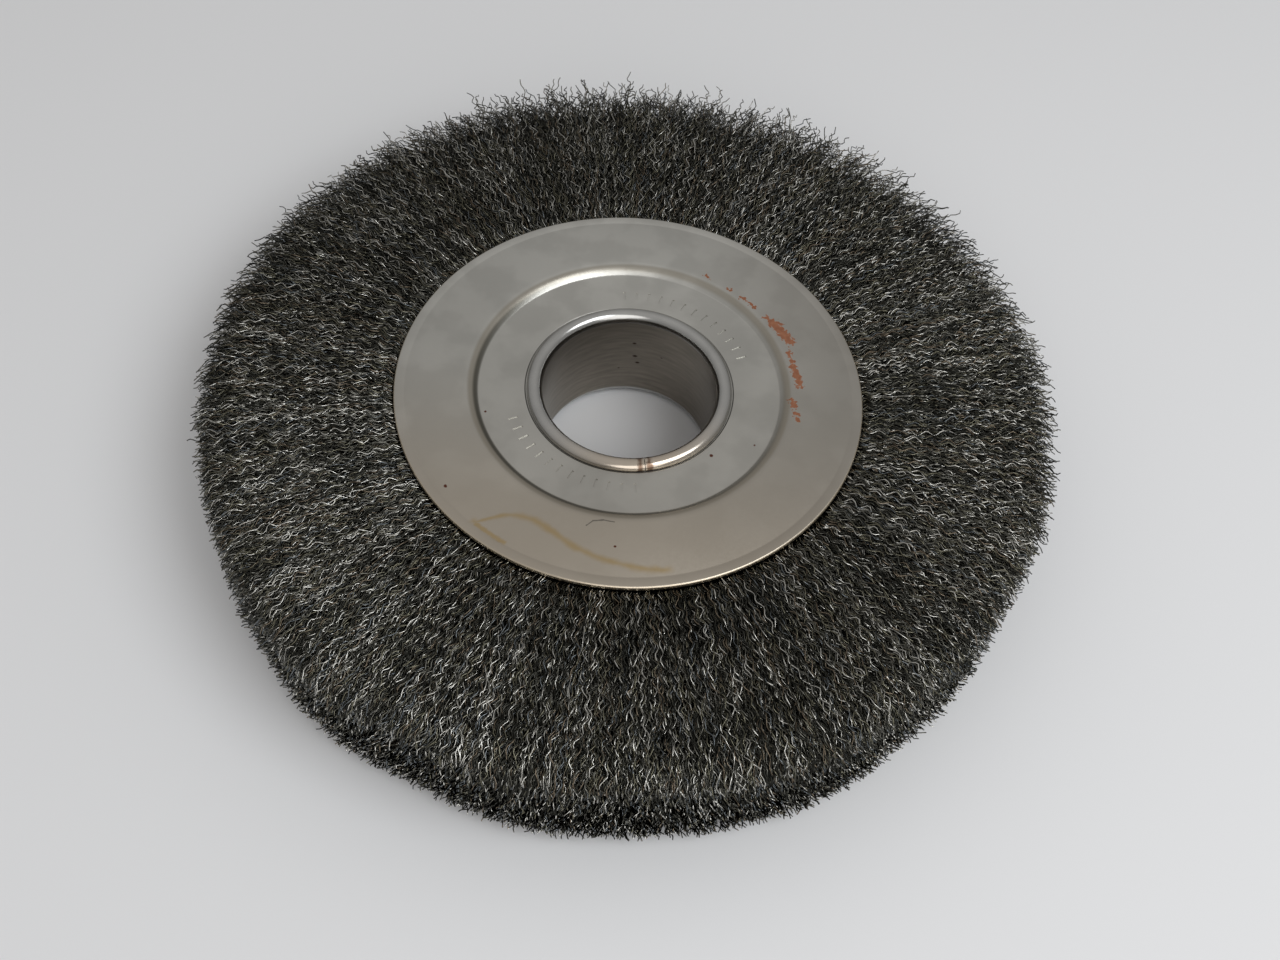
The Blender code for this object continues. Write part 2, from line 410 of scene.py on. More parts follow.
def streaks_share(tree, place, radius, angle, streaks, raggedness, softness):
    """Cover along streaks, given as (start, end, half width in mm), ragged at their edges."""
    ragged = noise(tree, place, 900.0, 8.0)
    rough = calculate(tree, "MULTIPLY", calculate(tree, "SUBTRACT", ragged, 0.5), raggedness)
    total = 0.0
    for start, end, half_width in streaks:
        away = streak_distance(tree, radius, angle, start, end)
        edge = calculate(tree, "ADD", away, rough)
        spot = fade(tree, edge, 0.8 * half_width * MM, half_width * MM + softness)
        total = calculate(tree, "MAXIMUM", spot, total)
    return total


def grime_and_shade_share(tree, place, radius):
    """Painted shade and dark reflection, with some dirt, at the foot of the step, heaviest
    towards 222 degrees round the axis.
    """
    parts = node(tree, "ShaderNodeSeparateXYZ", Vector=place)
    across = calculate(tree, "MULTIPLY", parts.outputs[0], math.cos(GRIME_AND_SHADE_ANGLE) / GRIME_AND_SHADE_MIDDLE)
    along = calculate(tree, "MULTIPLY", parts.outputs[1], math.sin(GRIME_AND_SHADE_ANGLE) / GRIME_AND_SHADE_MIDDLE)
    side = fade(tree, calculate(tree, "ADD", across, along), 0.8, -0.7)
    away = calculate(tree, "ABSOLUTE", calculate(tree, "SUBTRACT", radius, GRIME_AND_SHADE_MIDDLE))
    band = fade(tree, away, 0.2 * MM, 1.1 * MM)
    return calculate(tree, "MULTIPLY", band, calculate(tree, "MULTIPLY", side, 0.8))


def plate_colour(tree, place, radius, cloud):
    """Satin grey with blotches. Painted light and shade by side: paler towards +Y, and on the
    outer ring browner towards -Y and darker towards +X. Also a painted brown reflection on the
    step, and a painted warm highlight along the bare outer edge.
    """
    colour = blend_colour(tree, cloud, PLATE_DARK, PLATE_LIGHT)
    parts = node(tree, "ShaderNodeSeparateXYZ", Vector=place)
    across, along = parts.outputs[0], parts.outputs[1]
    # Painted light: paler towards +Y
    pale = share_of(tree, 0.55, fade(tree, along, 60 * MM, 0.0))
    colour = blend_colour(tree, pale, colour, PLATE_PALE)
    blotches = share_of(tree, 0.22, fade(tree, noise(tree, place, 62.0, 3.0), 0.42, 0.58))
    colour = blend_colour(tree, blotches, colour, BLOTCH_COLOUR)
    outer = rescale(tree, fade(tree, radius, 48 * MM, 43 * MM), 0.2, 1.0)
    # Painted shade: browner towards -Y on the outer ring
    front_shade = share_of(tree, 0.75, fade(tree, along, -60 * MM, 12 * MM))
    front_shade = calculate(tree, "MULTIPLY", front_shade, outer)
    colour = blend_colour(tree, front_shade, colour, FRONT_SHADE_COLOUR)
    # Painted shade: darker towards +X on the outer ring
    right_shade = share_of(tree, 0.5, fade(tree, across, 70 * MM, 5 * MM))
    right_shade = calculate(tree, "MULTIPLY", right_shade, outer)
    colour = blend_colour(tree, right_shade, colour, RIGHT_SHADE_COLOUR)
    # A painted brown reflection on the step, dimming its highlight
    away = calculate(tree, "ABSOLUTE", calculate(tree, "SUBTRACT", radius, STEP_REFLECTION_RADIUS))
    painted_reflection = share_of(tree, 0.6, fade(tree, away, 0.4 * MM, 1.5 * MM))
    colour = blend_colour(tree, painted_reflection, colour, STEP_REFLECTION_COLOUR)
    # The bare outer edge, with a painted warm highlight along it
    from_edge = calculate(tree, "SUBTRACT", PLATE_RADIUS, radius)
    bare = fade(tree, from_edge, 0.1 * MM, 0.5 * MM)
    return blend_colour(tree, bare, colour, EDGE_HIGHLIGHT_COLOUR)


def plate_material(name, marked):
    """Satin sheet steel. A marked plate has a stain, rust, small spots and a scratch."""
    material, tree, shader = metal(name, (0.42, 0.40, 0.37), 0.36)
    place, radius, angle = polar(tree)
    cloud = noise(tree, place, 45.0, 5.0)
    grain = noise(tree, place, 900.0, 3.0)
    colour = plate_colour(tree, place, radius, cloud)
    rough = rescale(tree, calculate(tree, "MULTIPLY", cloud, grain), 0.30, 0.52)
    # Painted shade and dark reflection, with some grime, in the crease at the foot of the step
    grime_and_shade = grime_and_shade_share(tree, place, radius)
    colour = blend_colour(tree, grime_and_shade, colour, GRIME_AND_SHADE_COLOUR)
    if marked:
        stain = share_of(tree, 0.8, stain_share(tree, place, radius, angle))
        rust = streaks_share(tree, place, radius, angle, RUST_STREAKS, 5.0 * MM, 0.25 * MM)
        spots = streaks_share(tree, place, radius, angle, PLATE_SPOTS, 0.6 * MM, 0.2 * MM)
        scratch = streaks_share(tree, place, radius, angle, SCRATCH, 0.3 * MM, 0.15 * MM)
        colour = blend_colour(tree, stain, colour, STAIN_COLOUR)
        rust_colour = blend_colour(tree, grain, RUST_DARK, RUST_LIGHT)
        colour = blend_colour(tree, rust, colour, rust_colour)
        colour = blend_colour(tree, spots, colour, SPOT_COLOUR)
        colour = blend_colour(tree, share_of(tree, 0.7, scratch), colour, SCRATCH_COLOUR)
        rough = calculate(tree, "MAXIMUM", rough, share_of(tree, 0.85, rust))
        bare = calculate(tree, "SUBTRACT", 1.0, share_of(tree, 0.9, rust))
        tree.links.new(bare, shader.inputs["Metallic"])
    tree.links.new(colour, shader.inputs["Base Color"])
    tree.links.new(rough, shader.inputs["Roughness"])
    bump(tree, shader, grain, 0.02 * MM)
    return material


BORE_SPOTS = ((90, 6, 0.9), (89, 0, 1.1), (87, -3, 1.0), (70, 2, 0.5), (100, -6, 0.5))
BURN_OFFSET = 0.045
LIP_DARK = (0.36, 0.36, 0.35, 1.0)
LIP_LIGHT = (0.52, 0.515, 0.50, 1.0)
BORE_DARK = (0.075, 0.066, 0.055, 1.0)
BORE_BROWN = (0.19, 0.17, 0.14, 1.0)
BORE_SCORED = (0.33, 0.295, 0.25, 1.0)
BORE_SPOT_COLOUR = (0.04, 0.025, 0.02, 1.0)
SEAM_WARMTH_COLOUR = (0.62, 0.50, 0.37, 1.0)
BURN_COLOUR = (0.13, 0.07, 0.04, 1.0)


def bore_spots(tree, angle, height):
    """Small dark spots on the bore's wall, given as (degrees, mm height, mm size)."""
    total = 0.0
    for degrees, level, size in BORE_SPOTS:
        along = calculate(tree, "MULTIPLY",
                          calculate(tree, "SUBTRACT", angle, math.radians(degrees)), BORE_RADIUS)
        up = calculate(tree, "MULTIPLY", calculate(tree, "SUBTRACT", height, level * MM), 1.6)
        squares = calculate(tree, "ADD", calculate(tree, "MULTIPLY", along, along),
                            calculate(tree, "MULTIPLY", up, up))
        spot = fade(tree, calculate(tree, "SQRT", squares), 0.3 * size * MM, size * MM)
        total = calculate(tree, "MAXIMUM", spot, total)
    return total


def sleeve_material():
    """Rolled steel: bright on the lip, dark and scored in the bore, burnt beside the seam."""
    material, tree, shader = metal("sleeve_steel_fine", (0.5, 0.49, 0.47), 0.2)
    place, radius, angle = polar(tree)
    height = node(tree, "ShaderNodeSeparateXYZ", Vector=place).outputs[2]
    depth = calculate(tree, "SUBTRACT", LIP_TOP, calculate(tree, "ABSOLUTE", height))
    in_bore = calculate(tree, "MULTIPLY",
                        fade(tree, depth, LIP_ENTRY, 0.7 * LIP_ENTRY),
                        fade(tree, radius, BORE_RADIUS + 0.3 * MM, BORE_RADIUS + 0.9 * MM))
    scored = node(tree, "ShaderNodeCombineXYZ")
    plug(tree, scored.inputs[0], calculate(tree, "MULTIPLY", height, 900.0))
    plug(tree, scored.inputs[1], calculate(tree, "MULTIPLY", angle, 3.0))
    scores = noise(tree, scored.outputs[0], 1.0, 6.0)
    lip = blend_colour(tree, noise(tree, place, 120.0), LIP_DARK, LIP_LIGHT)
    bore = blend_colour(tree, noise(tree, place, 70.0, 5.0), BORE_DARK, BORE_BROWN)
    bore = blend_colour(tree, scores, bore, BORE_SCORED)
    bore = blend_colour(tree, bore_spots(tree, angle, height), bore, BORE_SPOT_COLOUR)
    near_seam = calculate(tree, "ABSOLUTE", calculate(tree, "SUBTRACT", angle, SEAM_ANGLE))
    warmth = share_of(tree, 0.55, fade(tree, near_seam, 0.1, 1.3))
    lip = blend_colour(tree, warmth, lip, SEAM_WARMTH_COLOUR)
    colour = blend_colour(tree, in_bore, lip, bore)
    ragged = share_of(tree, 0.09, noise(tree, place, 500.0))
    offset = calculate(tree, "ABSOLUTE", calculate(tree, "SUBTRACT", near_seam, BURN_OFFSET))
    burn = fade(tree, calculate(tree, "ADD", offset, ragged), 0.05, 0.085)
    colour = blend_colour(tree, share_of(tree, 0.85, burn), colour, BURN_COLOUR)
    tree.links.new(colour, shader.inputs["Base Color"])
    rough = rescale(tree, scores, 0.12, 0.26)
    rough = calculate(tree, "ADD", rough, share_of(tree, 0.14, in_bore))
    tree.links.new(rough, shader.inputs["Roughness"])
    bump(tree, shader, scores, 0.03 * MM)
    return material


def hidden_steel(name, colour):
    """Plain strip or drawn wire inside the wheel, with a mill grain."""
    material, tree, shader = metal(name, colour, 0.42)
    place = tree.nodes.new("ShaderNodeTexCoord").outputs["Object"]
    darker = tuple(0.7 * channel for channel in colour)
    grain = noise(tree, place, 300.0, 5.0)
    mixed = blend_colour(tree, grain, (*darker, 1.0), (*colour, 1.0))
    tree.links.new(mixed, shader.inputs["Base Color"])
    tree.links.new(rescale(tree, grain, 0.34, 0.52), shader.inputs["Roughness"])
    return material


def core_material():
    """The dark inside of the wire fill, streaked along the wires."""
    material, tree, shader = metal("wire_shadow", (0.02, 0.02, 0.018), 0.6)
    place, radius, angle = polar(tree)
    streak = node(tree, "ShaderNodeCombineXYZ")
    plug(tree, streak.inputs[0], calculate(tree, "MULTIPLY", angle, 160.0))
    plug(tree, streak.inputs[1], calculate(tree, "MULTIPLY", radius, 300.0))
    share = noise(tree, streak.outputs[0], 1.0, 3.0)
    colour = blend_colour(tree, share, (0.008, 0.008, 0.007, 1.0), (0.05, 0.048, 0.042, 1.0))
    tree.links.new(colour, shader.inputs["Base Color"])
    return material


# ---------------------------------------------------------------- turned pieces

def rounded(points, fillets, steps=5):
    """An open outline with an arc-like curve at each inner corner that has a fillet."""
    corners = [Vector(point) for point in points]
    made = [corners[0]]
    for i in range(1, len(corners) - 1):
        size = fillets[i]
        if not size:
            made.append(corners[i])
            continue
        before = corners[i] + (corners[i - 1] - corners[i]).normalized() * size
        after = corners[i] + (corners[i + 1] - corners[i]).normalized() * size
        for step in range(steps + 1):
            t = step / steps
            made.append((1 - t) ** 2 * before + 2 * t * (1 - t) * corners[i] + t * t * after)
    made.append(corners[-1])
    return made


def sheet_section(front, thickness):
    """Close a plate's upper outline, from its hole to the foot of its edge, into a section."""
    inner = front[-1].x - thickness
    under = [Vector((point.x, point.y - thickness)) for point in front if point.x < inner]
    return front + [Vector((inner, front[-1].y))] + under[::-1]


def turned(name, outline, segments):
    """Turn a closed outline of (radius, height) points, walked clockwise, about Z."""
    mesh = bpy.data.meshes.new(name)
    count = len(outline)
    vertices = []
    for i in range(segments):
        turn = TAU * i / segments
        for radius, height in outline:
            vertices.append((radius * math.cos(turn), radius * math.sin(turn), height))
    faces = []
    for i in range(segments):
        here = i * count
        there = (i + 1) % segments * count
        for j in range(count):
            k = (j + 1) % count
            faces.append((here + j, here + k, there + k, there + j))
    mesh.from_pydata(vertices, [], faces)
    piece = link(bpy.data.objects.new(name, mesh))
    piece.location.z = MIDDLE
    return piece


def cut(piece, cutter):
    """Subtract cutter from piece, and keep the result as piece's own mesh."""
    step = piece.modifiers.new("cut", "BOOLEAN")
    step.object = cutter
    step.operation = "DIFFERENCE"
    step.solver = "EXACT"
    depsgraph = bpy.context.evaluated_depsgraph_get()
    mesh = bpy.data.meshes.new_from_object(piece.evaluated_get(depsgraph))
    piece.modifiers.clear()
    piece.data = mesh
    bpy.data.objects.remove(cutter)


def smooth(piece, degrees=35):
    piece.data.shade_smooth()
    piece.data.set_sharp_from_angle(angle=math.radians(degrees))


def boxes(name, places):
    """Several boxes as one mesh. A place is (radius, angle, height, length, width, depth)."""
    made = bmesh.new()
    for radius, turn, height, length, width, depth in places:
        shape = Matrix.Diagonal((length, width, depth, 1.0))
        where = Matrix.Rotation(turn, 4, "Z") @ Matrix.Translation((radius, 0.0, height))
        bmesh.ops.create_cube(made, size=1.0, matrix=where @ shape)
    mesh = bpy.data.meshes.new(name)
    made.to_mesh(mesh)
    made.free()
    piece = link(bpy.data.objects.new(name, mesh))
    piece.location.z = MIDDLE
    return piece


def plate_outline():
    seat = DISC_HEIGHT - LIP_SEAT_DEPTH
    band = TICK_LENGTH
    shoulder = PLATE_TOP - SHOULDER_DROP
    edge = PLATE_TOP - EDGE_DROP
    points = [
        (HOLE_RADIUS, seat),
        (LIP_SEAT_RADIUS, seat),
        (LIP_SEAT_RADIUS + LIP_SEAT_DEPTH, DISC_HEIGHT),
        (TICK_RADIUS - band, DISC_HEIGHT),
        (TICK_RADIUS + band, DISC_HEIGHT),
        (STEP_FOOT_RADIUS, DISC_HEIGHT),
        (STEP_FOOT_RADIUS + STEP_KNEE_RUN, DISC_HEIGHT + STEP_KNEE_RISE),
        (STEP_TOP_RADIUS, PLATE_TOP),
        (SHOULDER_RADIUS - SHOULDER_GROOVE_HALF, shoulder),
        (SHOULDER_RADIUS, shoulder - SHOULDER_GROOVE),
        (SHOULDER_RADIUS + SHOULDER_GROOVE_HALF, shoulder),
        (PLATE_RADIUS - EDGE_ROLL, edge),
        (PLATE_RADIUS, edge - EDGE_ROLL),
        (PLATE_RADIUS, edge - TURNED_EDGE),
    ]
    fillets = [0, SEAT_FILLET, SEAT_FILLET, 0, 0, STEP_FOOT_FILLET, STEP_KNEE_FILLET,
               STEP_TOP_FILLET, 0, 0, 0, EDGE_FILLET, EDGE_FILLET, 0]
    return sheet_section(rounded(points, fillets), SHEET)


def tick_places():
    places = []
    for first, last in TICK_ARCS:
        count = int((last - first) / TICK_SPACING) + 1
        for i in range(count):
            turn = math.radians(first + TICK_SPACING * i)
            places.append((TICK_RADIUS, turn, DISC_HEIGHT, TICK_LENGTH, TICK_WIDTH,
                           2 * TICK_DEPTH))
    return places


def make_plate(name, node_name, material, stamped, flipped):
    piece = turned(name, plate_outline(), PLATE_SEGMENTS)
    if stamped:
        cut(piece, boxes("tick_cutter", tick_places()))
    if flipped:
        piece.data.transform(Matrix.Rotation(math.pi, 4, "X"))
    smooth(piece)
    piece.data.materials.append(material)
    finish_piece(piece, "plate_steel", node_name)


def sleeve_outline():
    """A rolled wall with both ends curled outwards over the plates.

    The curl starts a little way down the bore, so its inner side is longer than its outer.
    """
    middle = (BORE_RADIUS + LIP_RADIUS) / 2
    half_width = (LIP_RADIUS - BORE_RADIUS) / 2
    crown = LIP_TOP - LIP_BASE
    lip = []
    for step in range(LIP_STEPS + 1):
        turn = math.pi * step / LIP_STEPS
        drop = (LIP_ENTRY if turn < math.pi / 2 else crown) * (1 - math.sin(turn))
        lip.append((middle - half_width * math.cos(turn), LIP_TOP - drop))
    wall = BORE_RADIUS + SLEEVE_WALL
    lower = [(radius, -height) for radius, height in reversed(lip)]
    return lip + [(wall, LIP_BASE), (wall, -LIP_BASE)] + lower


def make_sleeve():
    piece = turned("rolled_sleeve", sleeve_outline(), SLEEVE_SEGMENTS)
    seam = (LIP_RADIUS, SEAM_ANGLE, 0.0, 12 * MM, SEAM_WIDTH, 4 * HALF_FACE)
    cut(piece, boxes("seam_cutter", [seam]))
    smooth(piece)
    piece.data.materials.append(sleeve_material())
    finish_piece(piece, "sleeve_steel", "arbor_sleeve")


def finish_piece(piece, slot, *nodes):
    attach(piece, BODY)
    if nodes:
        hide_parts(*nodes)


# ---------------------------------------------------------------- wire fill

def past_rounding(radius):
    """How far a radius lies past the start of the rounded rim, squared."""
    return np.clip((radius - ROUND_START) / ROUND_LENGTH, 0.0, 1.2) ** 2


def face_half(radius):
    """Height of the wire face above the middle plane, flaring from the plate to the rim."""
    rise = 1 - np.exp(-np.maximum(radius - EMERGE_RADIUS, 0.0) / FLARE_REACH)
    return EMERGE_HALF + FLARE * rise - ROUND_DEPTH * past_rounding(radius)


def looseness(angle):
    """How loose the tips are: 1 on the wheel's loosest side, 0 on the opposite side."""
    return (0.5 + 0.5 * np.cos(angle - LOOSE_ANGLE)) ** 2


def slow_wave(rng, angle, lowest, highest):
    """A smooth wave around the wheel, made of a few whole numbers of turns."""
    total = np.zeros_like(angle)
    for turns in range(lowest, highest + 1):
        total += rng.normal() / math.sqrt(turns) * np.cos(turns * angle + rng.uniform(0, TAU))
    return total


class Clumps:
    """Small bundles that neighbouring wires gather into towards their tips."""

    def __init__(self, rng):
        shape = (CLUMPS, CLUMP_ROWS)
        self.angle_shift = rng.uniform(-CLUMP_SHIFT, CLUMP_SHIFT, shape)
        self.height_shift = rng.uniform(-CLUMP_SHIFT, CLUMP_SHIFT, shape)
        self.strength = rng.uniform(0.0, CLUMP_STRENGTH, shape)
        self.reach = rng.normal(0.0, CLUMP_REACH, shape)
        self.lean = rng.normal(0.0, CLUMP_LEAN, shape)

    def look_up(self, angle, height):
        """Each wire's clump: its centre's angle and height, strength, reach and lean."""
        column = np.floor(angle / TAU * CLUMPS).astype(int) % CLUMPS
        size = 2 * HALF_FACE / CLUMP_ROWS
        row = np.clip(np.floor((height + HALF_FACE) / size), 0, CLUMP_ROWS - 1).astype(int)
        centre = (np.floor(angle / TAU * CLUMPS) + 0.5 + self.angle_shift[column, row])
        level = (row + 0.5 + self.height_shift[column, row]) * size - HALF_FACE
        return (centre * TAU / CLUMPS, level, self.strength[column, row],
                self.reach[column, row], self.lean[column, row])


def tip_radii(rng, outline, angle, reach, loose):
    """Where each wire ends. Near the longest reach there are fewer and fewer tips."""
    longest = TIP_RADIUS + outline(angle) + reach + TIP_REACH + LOOSE_REACH * loose
    spread = TIP_SPREAD + LOOSE_SPREAD * loose
    return np.minimum(longest - spread * np.sqrt(rng.uniform(0, 1, len(angle))), TIP_LIMIT)


def crimp_wave(rng, angle, radius):
    """Each wire's crimps, and the tilt of the plane that they lie in."""
    count = len(angle)
    tilt = rng.normal(0, CRIMP_TILT, count)[:, None]
    pitch = CRIMP_PITCH * (1 + rng.normal(0, PITCH_JITTER, count))[:, None]
    in_step = rng.uniform(0, 1, count) < IN_STEP_SHARE
    jitter = np.where(in_step, rng.normal(0, IN_STEP_JITTER, count), rng.uniform(0, TAU, count))
    phase = (jitter + PHASE_DRIFT * slow_wave(rng, angle, 2, 9))[:, None]
    swing = CRIMP_HEIGHT * (1 + rng.normal(0, HEIGHT_JITTER, count))[:, None]
    swing = swing * np.clip((radius - EMERGE_RADIUS + 2 * MM) / (5 * MM), 0.3, 1)
    return swing * np.sin(TAU * (radius - EMERGE_RADIUS) / pitch + phase), tilt


def slow_swing(rng, radius, lengths):
    """A swing from -1 to 1 along each wire, with a wavelength and a phase of its own."""
    count = len(radius)
    wavelength = rng.uniform(*lengths, count)[:, None]
    return np.sin(TAU * radius / wavelength + rng.uniform(0, TAU, count)[:, None])


def stray(rng, radius, gather, loose):
    """How far each wire strays to one side, by a slow waver and by a splay near its tip."""
    count = len(radius)
    wander = rng.uniform(*WANDER, count)[:, None] * gather ** 0.2
    waver = wander * slow_swing(rng, radius, WAVER_LENGTH)
    splay = rng.normal(0, TIP_SPLAY, count) * (0.4 + 0.6 * loose)
    return waver + splay[:, None] * gather ** 2


def dip_and_lift(rng, radius, height, gather, loose):
    """Wires duck in and out of their face, and loose tips stand up from the upper face."""
    count = len(radius)
    dive = rng.uniform(*DIVE, count)[:, None] * gather ** 0.2
    dip = 0.5 + 0.5 * slow_swing(rng, radius, DIP_LENGTH)
    height = height - np.clip(height / (4 * MM), -1, 1) * dive * dip
    upper = np.clip(height / HALF_FACE, 0, 1)
    lift = LOOSE_LIFT * loose * rng.uniform(0, 2, count)
    return height + lift[:, None] * upper * past_rounding(radius)


def wire_paths(rng, clumps, outline, count, start, level, pull_height):
    """Centre lines of one layer's wires, as an array of (wire, point, coordinate).

    start holds where each wire begins; level(radius) gives its height at a radius. With
    pull_height, clumps also draw their wires together in height.
    """
    angle = (np.arange(count) + rng.uniform(0, 1, count)) * TAU / count
    centre, centre_level, strength, reach, lean = clumps.look_up(angle, level(TIP_RADIUS))
    loose = looseness(angle)
    unruly = 1 - LOOSE_SHARE + LOOSE_SHARE * loose
    tip = tip_radii(rng, outline, angle, reach * unruly, loose)
    points = int(np.ceil((TIP_RADIUS - start.mean()) / CRIMP_STEP)) + 1
    radius = start[:, None] + (tip - start)[:, None] * np.linspace(0, 1, points)
    gather = np.clip((radius - GATHER_START) / (TIP_RADIUS - GATHER_START), 0, 1.1) ** 2.5
    spin = angle[:, None] + gather * (strength * (centre - angle))[:, None]
    height = level(radius)
    if pull_height:
        height = height + gather * (strength * (centre_level - level(TIP_RADIUS)))[:, None]
    crimp, tilt = crimp_wave(rng, angle, radius)
    side = crimp * np.cos(tilt) + stray(rng, radius, gather, loose)
    side = side + (lean * unruly)[:, None] * gather
    height = dip_and_lift(rng, radius, height, gather, loose) + crimp * np.sin(tilt)
    height = np.maximum(height, FLOOR_CLEARANCE + WIRE_RADIUS - MIDDLE)
    x = radius * np.cos(spin) - side * np.sin(spin)
    y = radius * np.sin(spin) + side * np.cos(spin)
    return np.stack([x, y, height], axis=2), angle


def tube_geometry(paths):
    """Three-sided tubes along the paths, closed at both ends."""
    count, points, _ = paths.shape
    tangent = np.gradient(paths, axis=1)
    tangent /= np.linalg.norm(tangent, axis=2, keepdims=True)
    overall = paths[:, -1] - paths[:, 0]
    guide = np.cross(overall, [0.3, 0.2, 1.0])[:, None, :]
    first = guide - tangent * np.sum(guide * tangent, axis=2, keepdims=True)
    first /= np.linalg.norm(first, axis=2, keepdims=True)
    second = np.cross(tangent, first)
    rings = []
    for corner in range(3):
        turn = TAU * corner / 3
        rings.append(paths + WIRE_RADIUS * (math.cos(turn) * first + math.sin(turn) * second))
    vertices = np.stack(rings, axis=2).reshape(-1, 3)
    base = (np.arange(count) * points * 3)[:, None, None]
    ring = (np.arange(points - 1) * 3)[None, :, None]
    here = np.arange(3)[None, None, :]
    after = (here + 1) % 3
    low, high = base + ring, base + ring + 3
    quads = np.stack([low + here, low + after, high + after, high + here], axis=3)
    starts = base[:, :, 0] + np.array([[0, 2, 1]])
    ends = base[:, :, 0] + (points - 1) * 3 + np.array([[0, 1, 2]])
    return vertices, quads.reshape(count, -1, 4), np.stack([starts, ends], axis=1)


# Each tone's name, colour, roughness, and share of the wires in the faces and in the rim. The
# rim's shares are darker and bluer than the faces': painted shade.
TONES = (
    ("wire_dark", (0.042, 0.042, 0.036), 0.33, 0.37, 0.44),
    ("wire_mid", (0.155, 0.152, 0.132), 0.26, 0.22, 0.20),
    ("wire_bright", (0.60, 0.59, 0.55), 0.21, 0.16, 0.12),
    ("wire_olive", (0.17, 0.162, 0.12), 0.27, 0.14, 0.08),
    ("wire_brown", (0.19, 0.155, 0.115), 0.31, 0.06, 0.03),
    ("wire_blue", (0.15, 0.165, 0.175), 0.27, 0.05, 0.13),
)
FACE_SHARES = [tone[3] for tone in TONES]
RIM_SHADE_SHARES = [tone[4] for tone in TONES]


def tone_materials():
    return [metal(name, colour, roughness)[0] for name, colour, roughness, _, _ in TONES]


def wire_piece(name, batches, tones, materials):
    """One mesh from several batches of wires, with a material number for each short length."""
    vertices, corners, starts, numbers = [], [], [], []
    offset = loop = 0
    for paths, tone in zip(batches, tones):
        points, quads, caps = tube_geometry(paths)
        sides = quads.reshape(-1, 4) + offset
        ends = caps.reshape(-1, 3) + offset
        vertices.append(points)
        corners += [sides.ravel(), ends.ravel()]
        starts.append(loop + 4 * np.arange(len(sides)))
        loop += 4 * len(sides)
        starts.append(loop + 3 * np.arange(len(ends)))
        loop += 3 * len(ends)
        numbers += [np.repeat(tone.ravel(), 3), tone[:, [0, -1]].ravel()]
        offset += len(points)
    mesh = bpy.data.meshes.new(name)
    mesh.vertices.add(offset)
    mesh.vertices.foreach_set("co", np.concatenate(vertices).astype(np.float32).ravel())
    mesh.loops.add(loop)
    mesh.loops.foreach_set("vertex_index", np.concatenate(corners).astype(np.int32))
    first_loops = np.concatenate(starts).astype(np.int32)
    mesh.polygons.add(len(first_loops))
    mesh.polygons.foreach_set("loop_start", first_loops)
    for material in materials:
        mesh.materials.append(material)
    mesh.polygons.foreach_set("material_index", np.concatenate(numbers).astype(np.int32))
    mesh.update(calc_edges=True)
    mesh.shade_smooth()
    piece = link(bpy.data.objects.new(name, mesh))
    piece.location.z = MIDDLE
    finish_piece(piece, "wire_steel")


def wire_tones(rng, count, lengths, shares):
    """Each wire's own tone, with another tone over some of its crimps: painted glints and dark
    reflections.
    """
    own = rng.choice(len(TONES), (count, 1), p=shares)
    crimps = -(-lengths // CRIMP_POINTS)
    painted_reflection = rng.choice(len(TONES), (count, crimps), p=shares)
    mixed = np.where(rng.uniform(0, 1, (count, crimps)) < PAINTED_GLINT_SHARE, painted_reflection, own)
    return np.repeat(mixed, CRIMP_POINTS, axis=1)[:, :lengths]


def split_into_pieces(name, layers, count, rng, materials, shares):
    """Share the layers' wires out over pieces, one for each sector of the wheel."""
    tones = [wire_tones(rng, paths.shape[0], paths.shape[1] - 1, shares) for paths, _ in layers]
    for i in range(count):
        batches, picked = [], []
        for (paths, angle), tone in zip(layers, tones):
            inside = (angle >= TAU * i / count) & (angle < TAU * (i + 1) / count)
            batches.append(paths[inside])
            picked.append(tone[inside])
        wire_piece(f"{name}_{i + 1:02d}", batches, picked, materials)


def face_layer(rng, clumps, outline, count, start, spread, sign):
    """Wires lying in one face of the wheel, at depths spread evenly under its surface."""
    depth = FACE_DEPTH * rng.uniform(0, 1, count)
    first = start + spread * rng.uniform(0, 1, count)

    def level(radius):
        radius = np.asarray(radius)
        below = depth if radius.ndim < 2 else depth[:, None]
        return sign * (face_half(radius) - below)

    return wire_paths(rng, clumps, outline, count, first, level, False)


def rim_layer(rng, clumps, outline, count):
    """The outer ends of the wires that stand between the two faces."""
    share = rng.uniform(-1, 1, count)
    first = RIM_START + RIM_START_RANGE * rng.uniform(0, 1, count)

    def level(radius):
        radius = np.asarray(radius)
        across = share if radius.ndim < 2 else share[:, None]
        return across * (face_half(radius) - RIM_INSET)

    return wire_paths(rng, clumps, outline, count, first, level, True)


